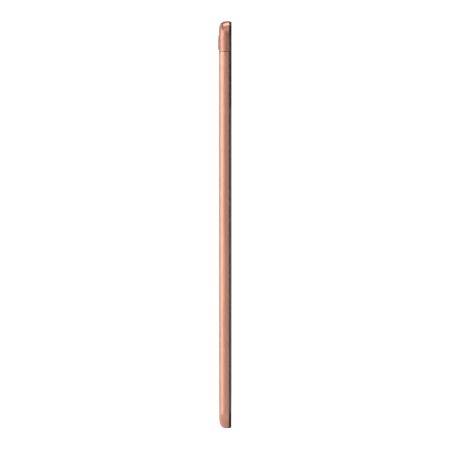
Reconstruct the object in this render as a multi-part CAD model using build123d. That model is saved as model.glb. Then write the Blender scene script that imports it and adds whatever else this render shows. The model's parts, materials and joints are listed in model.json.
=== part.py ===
from build123d import *
import os

# Tablet computer, standing upright. Millimetres. X is the width, Y the thickness with the
# screen facing -Y, and Z the height. The origin is under the middle, at the bottom edge.

# ---------------------------------------------------------------- driving dimensions
WIDTH = 149.4
HEIGHT = 245.2
THICKNESS = 7.5
CORNER_RADIUS = 9.4
CAMERA_RISE = 0.6

GLASS_THICKNESS = 0.7
METAL_DEPTH = 6.05
EDGE_REACH = 6.1
EDGE_CREST = 0.75
EDGE_SHOULDER = 2.0
EDGE_LEAN = 0.06
LIP_CHAMFER = 0.25

CAP_HEIGHT = 18.4
CAP_TONGUE_X = (-54.0, 50.0)
CAP_TONGUE_REACH = 3.0
SEAM_GAP = 0.24

WALL = 1.7
POCKET_STEPS = ((WALL, 1.2), (2.9, 2.3), (5.0, 2.95))

CAMERA_X = 60.0
CAMERA_BELOW_TOP = 11.6
CAMERA_RADIUS = 4.2
WINDOW_RADIUS = 3.15
WINDOW_SEAT = 0.42
BARREL_RADIUS = 2.5
BARREL_BORE_RADIUS = 1.7

KEY_RISE = 0.35
KEY_GAP = 0.12
POWER_Z = 217.0
POWER_LENGTH = 9.0
VOLUME_Z = 199.0
VOLUME_LENGTH = 19.0
DOME_SPREAD = 6.5

TRAY_Z = (169.6, 187.4)
PIN_HOLE_Y = 0.25
PIN_HOLE_Z = 185.5
PIN_HOLE_RADIUS = 0.5
ROD_RADIUS = 0.45
PIVOT_X = 50.6
PIVOT_Z = 178.8
PIVOT_RADIUS = 0.5

JACK_X = -53.0
JACK_Y = 0.8
JACK_BORE_RADIUS = 1.8
USB_Y = 0.9
SPEAKER_X = 48.0
SPEAKER_HOLES = 12
SPEAKER_PITCH = 2.0
SPEAKER_HOLE_Y = 0.5
SPEAKER_HOLE_RADIUS = 0.55
MIC_HOLE_RADIUS = 0.5
MIC_SIZE = 3.4
JACK_WIDTH = 6.0
SPEAKER_WIDTH = 34.0
SPEAKER_NOSE = 30.0
USB_SHELL = (8.94, 3.16)
USB_SHELL_WALL = 0.3
REAR_CAMERA_SIZE = 8.0
FRONT_CAMERA_SIZE = 5.4
SENSOR_SIZE = 2.0
RING_BORE_RADIUS = 2.95
SCREW_SHANK_RADIUS = 0.7
SCREW_HEAD_RADIUS = 1.35
PLATE_THREAD_RADIUS = 0.75
BOARD_HOLE_RADIUS = 0.85

FIT_GAP = 0.1
RUNNING_GAP = 0.06
FLEX = 0.12
SHEET = 0.15
SHIELD_HEIGHT = 1.45

# ---------------------------------------------------------------- derived places
SIDE = WIDTH / 2
MID_Z = HEIGHT / 2
FRONT_Y = -THICKNESS / 2
BACK_Y = THICKNESS / 2
METAL_FRONT_Y = BACK_Y - METAL_DEPTH
GLASS_BACK_Y = FRONT_Y + GLASS_THICKNESS
SEAM_Z = HEIGHT - CAP_HEIGHT
CAMERA_Z = HEIGHT - CAMERA_BELOW_TOP
POCKET_BACK_Y = POCKET_STEPS[-1][1]
CAP_TONGUE_Y = (2.1, POCKET_BACK_Y - FIT_GAP)
CAVITY_TOP_Z = 242.0

LEDGE_Y = GLASS_BACK_Y + 0.12
SHELF_BACK_Y = -2.1
LCD_Y = (-2.95, -2.15)
FILMS_Y = (-2.15, -1.9)
GUIDE_Y = (-1.9, -1.4)
TRAY_FLOOR_Y = (-1.4, -1.25)
PLATE_Y = (-1.2, -0.7)
CELL_Y = (-0.62, 2.58)
BOARD_Y = (-0.05, 0.75)
USB_BOARD_Y = (0.3, 0.9)
LEVER_Y = (-0.2, 0.6)
LENS_SEAT_Y = 2.6
LENS_CREST_Y = 3.15
LENS_CURVE = 5.0
KEY_Y = (-1.2, 0.6)
KEY_MID_Y = sum(KEY_Y) / 2
PLUG_Y = 1.7
UNDER_BOARD_Y = -0.45

DISPLAY_X = (-71.4, 71.4)
DISPLAY_Z = (7.2, 233.1)
DISPLAY_FLEX_X = (-26.0, -14.0)
TOUCH_FLEX_X = (10.0, 15.0)
MIC_TOP_X = -44.7
MIC_BOTTOM_X = 18.0
LENS_X = 0.0
LENS_Z = 238.0
SENSOR_X = 15.0
SENSOR_Z = 238.6
CLIP_Z = (25.0, 60.0, 95.0, 130.0)
CLIP_X = (-20.0, 24.0)
LUG_Z = (40.0, 90.0, 140.0)
SEAT_SCREWS = ((-66.0, 172.0), (-66.0, 220.5), (66.0, 220.5), (43.5, 172.0))
USB_SCREWS = ((-24.5, 22.5), (24.5, 22.5))
TUNNEL_X = (71.0, 76.0)
PLATE_X = (-71.5, 71.5)
BACKLIGHT_X = (-71.1, 71.1)
BATTERY_LEAD_X = (-13.0, -5.0)
BATTERY_SOCKET_Z = (170.5, 174.0)
LINK_FLEX_X = (-1.7, 1.7)
LINK_SOCKET_X = (-2.4, 2.4)
TOP_MIC_TAIL_X = (-49.8, -45.8)
TAIL_TOP_Z = 227.0
KEY_STRIP_X = (71.18, 71.3)
KEY_PLATE_X = (70.75, 71.16)
KEY_STRIP_Z = (187.8, 222.5)
KEY_TAIL_Z = (208.0, 211.5)
ANTENNA_Z = (229.0, 240.0)


# ---------------------------------------------------------------- shapes used throughout
def middle(span):
    """Half way along a (low, high) pair."""
    return (span[0] + span[1]) / 2


def size(span):
    """Length of a (low, high) pair."""
    return span[1] - span[0]


def around(centre, length):
    """(low, high) pair of a length about its centre."""
    return (centre - length / 2, centre + length / 2)


def block(x, y, z):
    """Box between three (low, high) pairs."""
    return Pos(middle(x), middle(y), middle(z)) * Box(size(x), size(y), size(z))


def slab(x, y, z, corner):
    """Flat plate whose four corners are round as seen from the front."""
    face = Plane.XZ.offset(-y[1]) * Pos(middle(x), middle(z)) * RectangleRounded(size(x), size(z), corner)
    return extrude(face, size(y))


def post(x, z, radius, y):
    """Round bar along the thickness."""
    return Pos(x, middle(y), z) * Rot(90, 0, 0) * Cylinder(radius, size(y))


def upright(x, y, radius, z):
    """Round bar along the height."""
    return Pos(x, y, middle(z)) * Cylinder(radius, size(z))


def crossbar(y, z, radius, x):
    """Round bar along the width."""
    return Pos(middle(x), y, z) * Rot(0, 90, 0) * Cylinder(radius, size(x))


def side_pill(x, y, z):
    """Bar along the width with a round-ended section, longer in z than in y."""
    face = Plane.YZ.offset(x[0]) * Pos(middle(y), middle(z)) * SlotOverall(size(z), size(y), rotation=90)
    return extrude(face, size(x))


def end_pill(x, y, z):
    """Bar along the height with a round-ended section, longer in x than in y."""
    face = Plane.XY.offset(z[0]) * Pos(middle(x), middle(y)) * SlotOverall(size(x), size(y))
    return extrude(face, size(z))


def inset_outline(inset):
    """The tablet's rounded outline, moved inwards, as a face seen from the front."""
    outline = RectangleRounded(WIDTH - 2 * inset, HEIGHT - 2 * inset, CORNER_RADIUS - inset)
    return Plane.XZ * Pos(0, MID_Z) * outline


def inset_slab(inset, y):
    """Plate with the inset outline between two levels of the thickness."""
    return Pos(0, y[1], 0) * extrude(inset_outline(inset), size(y))


def rim(section, inset):
    """Ring round the whole outline, from its section at the middle of the +X side."""
    path = inset_outline(inset).face().outer_wire()
    return sweep(Pos(0, 0, MID_Z) * section, path=path, transition=Transition.RIGHT)


def ribbon(x, path, thickness=FLEX):
    """Flexible circuit of one width that turns square corners through (y, z) points."""
    half = thickness / 2
    strip = None
    for (y0, z0), (y1, z1) in zip(path, path[1:]):
        y = (min(y0, y1) - half, max(y0, y1) + half)
        z = (min(z0, z1) - half, max(z0, z1) + half)
        run = block(x, y, z)
        strip = run if strip is None else strip + run
    return strip


# ---------------------------------------------------------------- enclosure
def soft_body(chamfer):
    """Solid with the outline, a flat back and the soft edge that runs all the way round."""
    root = SIDE - EDGE_REACH
    corner = (SIDE, METAL_FRONT_Y + chamfer)
    section = Polyline((root, BACK_Y), (root, METAL_FRONT_Y), (SIDE - chamfer, METAL_FRONT_Y))
    if chamfer:
        section += Line((SIDE - chamfer, METAL_FRONT_Y), corner)
    section += Bezier(
        corner,
        (SIDE - EDGE_LEAN, BACK_Y - EDGE_SHOULDER),
        (SIDE - EDGE_CREST, BACK_Y),
        (root, BACK_Y),
    )
    core = inset_slab(EDGE_REACH, (METAL_FRONT_Y, BACK_Y))
    return rim(make_face(section), EDGE_REACH) + core


def pocket():
    """Stepped hollow milled into the casing from its open front."""
    hollow = None
    floor = METAL_FRONT_Y - 1
    for inset, top in POCKET_STEPS:
        step = inset_slab(inset, (floor, top))
        hollow = step if hollow is None else hollow + step
        floor = top
    return hollow


def clip(centre, along_x, grow):
    """Catch on the frame's skirt, or with grow its pocket in the cover."""
    length, reach, height = 6.0 + grow, 0.35 + grow, 0.5 + grow
    y = around(0.45, height)
    if along_x:
        return block(around(centre, length), y, (WALL + 0.15 - reach, WALL + 0.2))
    right = block((SIDE - WALL - 0.2, SIDE - WALL - 0.15 + reach), y, around(centre, length))
    return right + mirror(right, Plane.YZ)


def clips(grow):
    """All the catches, or all their pockets."""
    pieces = [clip(z, False, grow) for z in CLIP_Z] + [clip(x, True, grow) for x in CLIP_X]
    return sum(pieces[1:], pieces[0])


def speaker_holes():
    """Both rows of round holes in the bottom edge."""
    holes = []
    for side in (-1, 1):
        for step in range(SPEAKER_HOLES):
            x = side * SPEAKER_X + (step - (SPEAKER_HOLES - 1) / 2) * SPEAKER_PITCH
            holes.append(upright(x, SPEAKER_HOLE_Y, SPEAKER_HOLE_RADIUS, (-1, WALL + 1)))
    return holes


def rear_cover():
    """Metal back: open pocket, soft edge, and every opening in its sides."""
    cover = soft_body(LIP_CHAMFER) - pocket() - clips(FIT_GAP)
    cover -= block((-SIDE - 1, SIDE + 1), (FRONT_Y - 1, BACK_Y + 1), (SEAM_Z - SEAM_GAP / 2, HEIGHT + 1))
    cover -= end_pill(around(0, USB_SHELL[0] + 0.2), around(USB_Y, USB_SHELL[1] + 0.2), (-1, 6))
    cover -= upright(MIC_BOTTOM_X, SPEAKER_HOLE_Y, MIC_HOLE_RADIUS, (-1, WALL + 1))
    for hole in speaker_holes():
        cover -= hole
    key_slot_y = (KEY_Y[0] - KEY_GAP, KEY_Y[1] + KEY_GAP)
    for centre, length in ((POWER_Z, POWER_LENGTH), (VOLUME_Z, VOLUME_LENGTH)):
        cover -= side_pill(TUNNEL_X, key_slot_y, around(centre, length + 2 * KEY_GAP))
    return cover - tray_mouth(FIT_GAP, TUNNEL_X)


def top_cap():
    """Plastic cap over the aerials: same soft edge, camera hole, socket hole and inner tongue."""
    cap = soft_body(0) - pocket()
    cap -= block((-SIDE - 1, SIDE + 1), (FRONT_Y - 1, BACK_Y + 1), (-1, SEAM_Z + SEAM_GAP / 2))
    cap -= post(CAMERA_X, CAMERA_Z, 3.8, (2, BACK_Y + 1))
    cap -= block(around(JACK_X, JACK_WIDTH + 0.6), (-1.3, 2.9), (200, 242.4))
    cap -= upright(JACK_X, JACK_Y, JACK_BORE_RADIUS + 0.2, (CAVITY_TOP_Z, HEIGHT + 1))
    cap -= upright(MIC_TOP_X, JACK_Y, MIC_HOLE_RADIUS, (CAVITY_TOP_Z, HEIGHT + 1))
    cap += block(CAP_TONGUE_X, CAP_TONGUE_Y, (SEAM_Z - CAP_TONGUE_REACH, SEAM_Z + 0.5))
    return cap + block(CAP_TONGUE_X, (CAP_TONGUE_Y[0], POCKET_BACK_Y), (SEAM_Z + SEAM_GAP / 2, SEAM_Z + 1))


def cap_tape():
    """Tape that bonds the cap's tongue to the inside of the metal back."""
    low_z = SEAM_Z - CAP_TONGUE_REACH + FIT_GAP
    return block(CAP_TONGUE_X, (CAP_TONGUE_Y[1], POCKET_BACK_Y), (low_z, SEAM_Z - 0.2))


def front_frame():
    """Black plastic frame: rim beside the glass, skirt inside the cover, shelves and lugs."""
    outer, skirt_out, skirt_in = SIDE - 0.06, SIDE - WALL - 0.1, SIDE - 3.0
    foot_y = METAL_FRONT_Y - 0.02
    crown = (SIDE - 0.36, GLASS_BACK_Y + 0.02)
    section = Polyline(
        (outer, foot_y), (skirt_out, foot_y), (skirt_out, 0.9), (skirt_in, 0.9),
        (skirt_in, LEDGE_Y), (SIDE - 0.8, LEDGE_Y), (SIDE - 0.8, crown[1]), crown,
    )
    section += ThreePointArc(crown, (SIDE - 0.15, -2.72), (outer, foot_y))
    frame = rim(make_face(section), 3.0)
    shelf = inset_slab(2.0, (LEDGE_Y, SHELF_BACK_Y))
    frame += shelf - block(around(0, 143.4), (-4, 0), (DISPLAY_Z[0] - 0.2, DISPLAY_Z[1] + 0.2))
    frame += block(around(CAMERA_X, 10), (SHELF_BACK_Y - 0.2, -0.65), (233.5, 240))
    lug = block((70.2, skirt_in + 0.3), (PLATE_Y[1] + 0.02, -0.1), (-3, 3))
    for z in LUG_Z:
        frame += Pos(0, 0, z) * (lug + mirror(lug, Plane.YZ))
    frame += clips(0)
    for z_span in (around(POWER_Z, POWER_LENGTH + 3), around(VOLUME_Z, VOLUME_LENGTH + 3), (168.6, 188.4)):
        frame -= block((70, 75), (KEY_Y[0] - 0.3, 1), z_span)
    for side in (-1, 1):
        frame -= block(around(side * SPEAKER_X, SPEAKER_NOSE + 0.6), (-0.5, 1), (1, 4))
    frame -= block(around(0, 10), (USB_Y - 1.9, 1), (1, 4))
    frame -= block(around(MIC_BOTTOM_X, 2.2), (-0.6, 1), (1, 4))
    frame -= block(around(JACK_X, JACK_WIDTH + 0.6), (-1.3, 1), (241, 244))
    frame -= block(around(MIC_TOP_X, 3), (-0.6, 1), (241, 244))
    for x in (DISPLAY_FLEX_X, TOUCH_FLEX_X):
        frame -= block((x[0] - 0.5, x[1] + 0.5), (-3, -2), (5.6, 7.5))
    frame -= post(LENS_X, LENS_Z, 2.1, (-4, 0))
    return frame - block(around(SENSOR_X, SENSOR_SIZE + 0.4), (-4, 0), around(SENSOR_Z, SENSOR_SIZE + 0.4))


def mid_plate():
    """Stiff alloy plate between the display and the electronics, with its screw posts."""
    plate = slab(PLATE_X, PLATE_Y, (3.2, 233.0), 6.0)
    plate -= block((70.4, 73), (-2, 0), (187.2, 223.6))
    plate -= block(around(JACK_X, JACK_WIDTH + 1.2), (-2, 0), (228.2, 234))
    for x in (DISPLAY_FLEX_X, TOUCH_FLEX_X):
        plate -= block((x[0] - 0.5, x[1] + 0.5), (-2, 0), (0, 7.1))
    for seats, board_front in ((SEAT_SCREWS, BOARD_Y[0]), (USB_SCREWS, USB_BOARD_Y[0])):
        for x, z in seats:
            plate += post(x, z, 2 * BOARD_HOLE_RADIUS, (PLATE_Y[1], board_front))
            plate -= post(x, z, PLATE_THREAD_RADIUS, (-2, 1))
    return plate


def cover_glass():
    """Glass with its front edge rounded all the way round."""
    glass = inset_slab(0.38, (FRONT_Y, GLASS_BACK_Y))
    front = glass.faces().sort_by(Axis.Y)[0]
    return fillet(front.edges(), 0.62)


def glass_adhesive():
    """Ring of tape between the glass and the frame's ledge."""
    level = (GLASS_BACK_Y, LEDGE_Y)
    return inset_slab(0.9, level) - inset_slab(2.9, level)


# ---------------------------------------------------------------- display
def lcd_panel():
    """Liquid-crystal cell, two glasses and their films."""
    return slab(DISPLAY_X, LCD_Y, DISPLAY_Z, 0.8)


def diffuser_films():
    """Stack of films that spread the light."""
    return slab(BACKLIGHT_X, FILMS_Y, (7.5, 232.8), 0.6)


def light_guide():
    """Clear plate that carries the light up from the bottom edge."""
    return block(BACKLIGHT_X, GUIDE_Y, (8.6, 232.8))


def led_strip():
    """Row of lamps on a thin strip along the guide's lower edge."""
    strip = block((-70, 70), (GUIDE_Y[1] - 0.1, GUIDE_Y[1]), (7.6, 8.5))
    for step in range(28):
        strip += block(around(-67.5 + 5 * step, 2.6), (GUIDE_Y[0] + 0.05, GUIDE_Y[1] - 0.1), (7.8, 8.5))
    return strip


def backlight_tray():
    """Folded steel tray that holds the films and the guide."""
    outer = slab(DISPLAY_X, (FILMS_Y[0], TRAY_FLOOR_Y[1]), DISPLAY_Z, 0.8)
    return outer - slab((-71.2, 71.2), (-4, TRAY_FLOOR_Y[0]), (7.4, 232.9), 0.6)


def display_ribbon(x, front_y, low_z):
    """Circuit from the display's lower edge, round the plate and up onto the lower board."""
    return ribbon(x, ((front_y, 7.14), (front_y, low_z), (PLUG_Y + 0.06, low_z), (PLUG_Y + 0.06, 14)))


def display_flex():
    """Display's own circuit, wide."""
    return display_ribbon(DISPLAY_FLEX_X, -2.5, 6.3)


def touch_flex():
    """Touch layer's circuit, narrow."""
    return display_ribbon(TOUCH_FLEX_X, -2.7, 6.3)


# ---------------------------------------------------------------- battery
def battery_cell(side):
    """One flat pouch cell, with the folded seam along its top."""
    x = (2.5, 67.5) if side > 0 else (-67.5, -2.5)
    cell = slab(x, CELL_Y, (44, 158.5), 2.0)
    faces = cell.faces().sort_by(Axis.Y)
    cell = fillet(faces[0].edges() + faces[-1].edges(), 0.5)
    return cell + block((x[0] + 3, x[1] - 3), (0.4, 0.8), (158.3, 160.4))


def battery_board():
    """Protection board along the top of both cells, with its lead to the main board."""
    board = block((-32, 32), (0.9, PLUG_Y), (161, 165.5))
    return board + ribbon(BATTERY_LEAD_X, ((PLUG_Y + 0.06, 162), (PLUG_Y + 0.06, BATTERY_SOCKET_Z[1])))


# ---------------------------------------------------------------- main board
def main_board():
    """Circuit board above the cells, notched for the card reader."""
    board = slab((-70, 69.9), BOARD_Y, (168, 223.5), 1.5)
    board -= block((47.5, 71), (-1, 2), (167, 187.6))
    for x, z in SEAT_SCREWS:
        board -= post(x, z, BOARD_HOLE_RADIUS, (-1, 2))
    return board


def board_face(x, height, z):
    """Component soldered on the back of the main board."""
    return block(x, (BOARD_Y[1], BOARD_Y[1] + height), z)


def processor():
    """Main processor."""
    return board_face((-20, -6), 0.95, (192, 206))


def board_chips():
    """Memory, storage, radio and power chips."""
    memory = board_face((-2, 6), 0.9, (194, 205))
    storage = board_face((-27, -22), 0.9, (196, 208))
    radio = board_face((-54, -45), 0.8, (200, 209))
    power = board_face((18, 26), 0.8, (186, 194))
    charger = board_face((30, 35), 0.7, (186, 191))
    return Compound(children=[memory, storage, radio, power, charger])


def shield_can(x, z):
    """Folded steel lid soldered over chips."""
    top = BOARD_Y[1] + SHIELD_HEIGHT
    can = slab(x, (BOARD_Y[1], top), z, 0.8)
    inner_x = around(middle(x), size(x) - 2 * SHEET)
    inner_z = around(middle(z), size(z) - 2 * SHEET)
    return can - slab(inner_x, (BOARD_Y[1] - 1, top - SHEET), inner_z, 0.8 - SHEET)


def board_connectors():
    """Sockets on both boards that the circuits plug into."""
    back = BOARD_Y[1]
    plugs = [
        block(BATTERY_LEAD_X, (back, PLUG_Y), BATTERY_SOCKET_Z),
        block(LINK_SOCKET_X, (back, PLUG_Y + 0.05), (169, 172)),
        block((-3, 3), (back, PLUG_Y), (218, 221)),
        block(TOP_MIC_TAIL_X, (back, PLUG_Y), (219.5, 221.5)),
        block(around(CAMERA_X, 6), (UNDER_BOARD_Y + 0.06, BOARD_Y[0]), (216, 219)),
        block(around(SENSOR_X, 4), (UNDER_BOARD_Y + 0.06, BOARD_Y[0]), (219, 221)),
        block(DISPLAY_FLEX_X, (USB_BOARD_Y[1], PLUG_Y), (11, 14)),
        block(TOUCH_FLEX_X, (USB_BOARD_Y[1], PLUG_Y), (11, 14)),
        block(LINK_SOCKET_X, (USB_BOARD_Y[1], PLUG_Y + 0.05), (18, 21)),
    ]
    return Compound(children=plugs)


def graphite_sheet():
    """Thin sheet on the inside of the back that spreads the processor's heat."""
    return block((-62, 44), (2.87, POCKET_BACK_Y), (176, 221))


def screw(x, z, seat_y):
    """Pan-head screw with a cross recess, its shank in the plate's post."""
    slot, slot_y = (1.3, 0.3), (seat_y + 0.25, seat_y + 1)
    head = post(x, z, SCREW_HEAD_RADIUS, (seat_y, seat_y + 0.5))
    head = chamfer(head.edges().sort_by(Axis.Y)[-1], 0.2)
    shank = post(x, z, SCREW_SHANK_RADIUS, (PLATE_Y[0] + 0.1, seat_y))
    cross = block(around(x, slot[0]), slot_y, around(z, slot[1]))
    cross += block(around(x, slot[1]), slot_y, around(z, slot[0]))
    return head + shank - cross


def board_screws():
    """All the screws that hold the two boards."""
    upper = [screw(x, z, BOARD_Y[1]) for x, z in SEAT_SCREWS]
    lower = [screw(x, z, USB_BOARD_Y[1]) for x, z in USB_SCREWS]
    return Compound(children=upper + lower)


# ---------------------------------------------------------------- lower board and sound
def usb_board():
    """Small board at the bottom for charging and sound."""
    board = slab((-28, 28), USB_BOARD_Y, (8, 25), 1.0)
    board -= block((-4.6, 4.6), (-1, 2), (7, 9.2))
    for x, z in USB_SCREWS:
        board -= post(x, z, BOARD_HOLE_RADIUS, (-1, 2))
    return board


def usb_c_shell():
    """Drawn metal shell of the charging socket, open at the bottom edge."""
    shell = end_pill(around(0, USB_SHELL[0]), around(USB_Y, USB_SHELL[1]), (0.6, 9.1))
    width, depth = USB_SHELL[0] - 2 * USB_SHELL_WALL, USB_SHELL[1] - 2 * USB_SHELL_WALL
    return shell - end_pill(around(0, width), around(USB_Y, depth), (0, 8.6))


def usb_c_tongue():
    """Tongue with the contacts inside the charging socket, and its insulating base."""
    base = end_pill(around(0, 8.3), around(USB_Y, 2.5), (7.2, 8.6))
    return base + block(around(0, 6.7), around(USB_Y, 0.7), (1.5, 7.4))


def usb_bracket():
    """Steel strap that holds the charging socket down on its board."""
    strap = block((-7, 7), (2.5, 2.7), (5.3, 12))
    for side in (-1, 1):
        leg = block((6.8, 7.0), (USB_BOARD_Y[1], 2.7), (8.2, 12))
        foot = block((6.8, 8.8), (USB_BOARD_Y[1], USB_BOARD_Y[1] + 0.2), (8.2, 12))
        strap += leg + foot if side > 0 else mirror(leg + foot, Plane.YZ)
    return strap


def board_link_flex():
    """Long circuit between the two boards, in the gap between the cells."""
    return ribbon(LINK_FLEX_X, ((PLUG_Y + 0.11, 18), (PLUG_Y + 0.11, 172)))


def bottom_microphone():
    """Microphone on the lower board."""
    return block(around(MIC_BOTTOM_X, MIC_SIZE), (USB_BOARD_Y[1], 1.9), (8.2, 11.2))


def speaker_box(side):
    """Loudspeaker box, open towards the bottom edge through its snout."""
    x = side * SPEAKER_X
    box = block(around(x, SPEAKER_WIDTH), (-0.6, 2.25), (4.2, 18))
    box += block(around(x, SPEAKER_NOSE), (-0.3, 1.15), (2.3, 4.4))
    box -= block(around(x, 28.4), (0.0, 0.95), (2, 8))
    return box - block(around(x, 30), (0.0, 1.9), (5.2, 17))


def speaker_cone(side):
    """Stiff plate of the loudspeaker that moves to and fro, with its coil behind."""
    x = side * SPEAKER_X
    plate = slab(around(x, 24), (0.75, 0.95), (6.2, 16), 3.0)
    coil = slab(around(x, 12), (0.95, 1.5), (8.4, 13.8), 1.0)
    return plate + coil - slab(around(x, 11), (0.98, 2.0), (8.9, 13.3), 0.8)


def speaker_meshes():
    """Fine screens behind both rows of holes."""
    screens = [block(around(side * SPEAKER_X, 29), (-0.3, 1.15), (1.75, 1.87)) for side in (-1, 1)]
    return Compound(children=screens)


def gasket(x, y, outer, bore, z):
    """Rubber tube along the height."""
    return upright(x, y, outer, z) - upright(x, y, bore, z)


def mic_gaskets():
    """Rubber tubes that lead sound from the holes to the two microphones."""
    low = gasket(MIC_BOTTOM_X, SPEAKER_HOLE_Y, 0.66, MIC_HOLE_RADIUS - 0.1, (1.75, 7.9))
    high = gasket(MIC_TOP_X, JACK_Y, 1.1, MIC_HOLE_RADIUS, (241.6, 242.25))
    return Compound(children=[low, high])


# ---------------------------------------------------------------- top edge parts
def headphone_jack():
    """Socket body with its round bore, open at the top."""
    body = block(around(JACK_X, JACK_WIDTH), (-1.15, 2.8), (228.6, 242.3))
    body -= upright(JACK_X, JACK_Y, JACK_BORE_RADIUS, (229.2, 243))
    for z in (231.0, 234.5, 238.0):
        body += block((JACK_X - 3.3, JACK_X - 2.9), (0.4, 1.2), around(z, 1.2))
    return body


def top_microphone():
    """Microphone at the top edge, on its own circuit."""
    plug_level = PLUG_Y + FLEX / 2
    route = ((0.26, 241.4), (0.26, TAIL_TOP_Z), (plug_level, TAIL_TOP_Z), (plug_level, 219.5))
    circuit = ribbon((TOP_MIC_TAIL_X[0], -42.6), route)
    return circuit + block(around(MIC_TOP_X, MIC_SIZE), (0.3, 1.3), (238.6, 241.5))


def front_camera():
    """Front camera: lens barrel, square body and its circuit."""
    body = block(around(LENS_X, FRONT_CAMERA_SIZE), (-2.05, 0.2), around(LENS_Z, FRONT_CAMERA_SIZE))
    body += post(LENS_X, LENS_Z, 1.9, (-2.95, -2.0))
    body -= post(LENS_X, LENS_Z, 1.0, (-3.5, -2.5))
    plug_level = PLUG_Y + FLEX / 2
    route = ((0.24, 240), (0.24, TAIL_TOP_Z), (plug_level, TAIL_TOP_Z), (plug_level, 218))
    tail = ribbon((-2, 2), route)
    return body + tail


def light_sensor():
    """Light sensor behind the glass, on its own circuit."""
    die = block(around(SENSOR_X, SENSOR_SIZE), (-2.9, -2.0), around(SENSOR_Z, SENSOR_SIZE))
    circuit = ribbon(
        around(SENSOR_X, 4),
        ((-1.98, 240.4), (-1.98, 234.3), (UNDER_BOARD_Y, 234.3), (UNDER_BOARD_Y, 219)),
    )
    return die + circuit


def wifi_antennas():
    """Two aerials stuck to the inside of the cap."""
    return Compound(children=[
        block((-40, -8), (2.87, POCKET_BACK_Y), ANTENNA_Z),
        block((10, 42), (2.87, POCKET_BACK_Y), ANTENNA_Z),
    ])


def antenna_cable(x):
    """Thin coaxial lead from an aerial down to the main board."""
    route = FilletPolyline((x, 2.5, 233.5), (x, 1.4, 229.0), (x, 1.4, 216.5), radius=2.0)
    lead = sweep(Plane(route @ 0, z_dir=route % 0) * Circle(0.35), path=route)
    return lead + block(around(x, 2.2), (BOARD_Y[1], 1.5), (214.5, 216.7))


def antenna_cables():
    """Both aerial leads with their small plugs."""
    return Compound(children=[antenna_cable(-31), antenna_cable(33)])


# ---------------------------------------------------------------- rear camera
def camera_ring():
    """Raised ring round the rear camera, its neck in the cap and a seat for the window."""
    top = BACK_Y + CAMERA_RISE
    ring = post(CAMERA_X, CAMERA_Z, CAMERA_RADIUS, (BACK_Y, top))
    ring = fillet(ring.edges().sort_by(Axis.Y)[-1], 0.2)
    ring += post(CAMERA_X, CAMERA_Z, 3.7, (POCKET_BACK_Y, BACK_Y))
    ring -= post(CAMERA_X, CAMERA_Z, RING_BORE_RADIUS, (2, 6))
    ring -= post(CAMERA_X, CAMERA_Z, WINDOW_RADIUS + 0.05, (top - WINDOW_SEAT, 6))
    crest_edges = ring.edges().filter_by(GeomType.CIRCLE).group_by(Axis.Y)[-1]
    return chamfer(crest_edges.sort_by(SortBy.RADIUS)[0], 0.12)


def camera_window():
    """Small round glass in the ring."""
    top = BACK_Y + CAMERA_RISE
    return post(CAMERA_X, CAMERA_Z, WINDOW_RADIUS, (top - WINDOW_SEAT, top - 0.14))


def rear_camera_housing():
    """Square body of the rear camera, with the bore its focusing barrel slides in."""
    body = slab(around(CAMERA_X, REAR_CAMERA_SIZE), (-0.5, 2.85), around(CAMERA_Z, REAR_CAMERA_SIZE), 0.6)
    return body - post(CAMERA_X, CAMERA_Z, BARREL_RADIUS + RUNNING_GAP, (0.1, 4))


def rear_camera_barrel():
    """Lens barrel that moves in and out to focus."""
    barrel = post(CAMERA_X, CAMERA_Z, BARREL_RADIUS, (0.6, 3.3))
    barrel -= post(CAMERA_X, CAMERA_Z, BARREL_BORE_RADIUS, (LENS_SEAT_Y, 4))
    return barrel - post(CAMERA_X, CAMERA_Z, 1.2, (0, 4))


def rear_camera_lens():
    """Front lens of the barrel, slightly domed."""
    disc = post(CAMERA_X, CAMERA_Z, BARREL_BORE_RADIUS - 0.04, (LENS_SEAT_Y, LENS_CREST_Y + 0.05))
    dome = Pos(CAMERA_X, LENS_CREST_Y - LENS_CURVE, CAMERA_Z) * Sphere(LENS_CURVE)
    return disc & dome


def rear_camera_flex():
    """Camera's circuit, under its body and down to the front of the main board."""
    pad = block(around(CAMERA_X, REAR_CAMERA_SIZE), (-0.5 - FLEX, -0.5), around(CAMERA_Z, REAR_CAMERA_SIZE))
    route = ((-0.56, 230.5), (-0.56, 225), (UNDER_BOARD_Y, 225), (UNDER_BOARD_Y, 216))
    return pad + ribbon(around(CAMERA_X, 5), route)


# ---------------------------------------------------------------- keys
def key(centre, length, flange_x, flange_length, nubs):
    """Side key: round-ended cap, inner flange and the nubs that press the domes."""
    cap = side_pill((flange_x[1] - 0.2, SIDE + KEY_RISE), KEY_Y, around(centre, length))
    outer = cap.faces().sort_by(Axis.X)[-1]
    cap = fillet(outer.edges(), 0.25)
    flange = block(flange_x, KEY_Y, around(centre, flange_length))
    piece = cap + flange
    for z in nubs:
        piece += crossbar(KEY_MID_Y, z, 0.5, (71.78, flange_x[1]))
    return piece


def power_key():
    """Power key, which slides straight in."""
    return key(POWER_Z, POWER_LENGTH, (72.3, 72.9), POWER_LENGTH + 1.6, (POWER_Z,))


def volume_key():
    """Volume key, which rocks about its middle over two domes."""
    nubs = (VOLUME_Z - DOME_SPREAD, VOLUME_Z + DOME_SPREAD)
    return key(VOLUME_Z, VOLUME_LENGTH, (72.2, 72.75), 6.0, nubs)


def domes(centres):
    """Snap domes of a key, as low caps."""
    caps = []
    for z in centres:
        cap = crossbar(KEY_MID_Y, z, 0.75, (71.32, 71.7))
        caps.append(fillet(cap.edges().sort_by(Axis.X)[-1], 0.3))
    return Compound(children=caps)


def key_flex():
    """Circuit behind the keys, folded onto the main board."""
    strip = block(KEY_STRIP_X, (-1.1, 0.5), KEY_STRIP_Z)
    strip += block(KEY_STRIP_X, (0.4, 0.87), KEY_TAIL_Z)
    return strip + block((64, KEY_STRIP_X[1]), (BOARD_Y[1], BOARD_Y[1] + FLEX), KEY_TAIL_Z)


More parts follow.
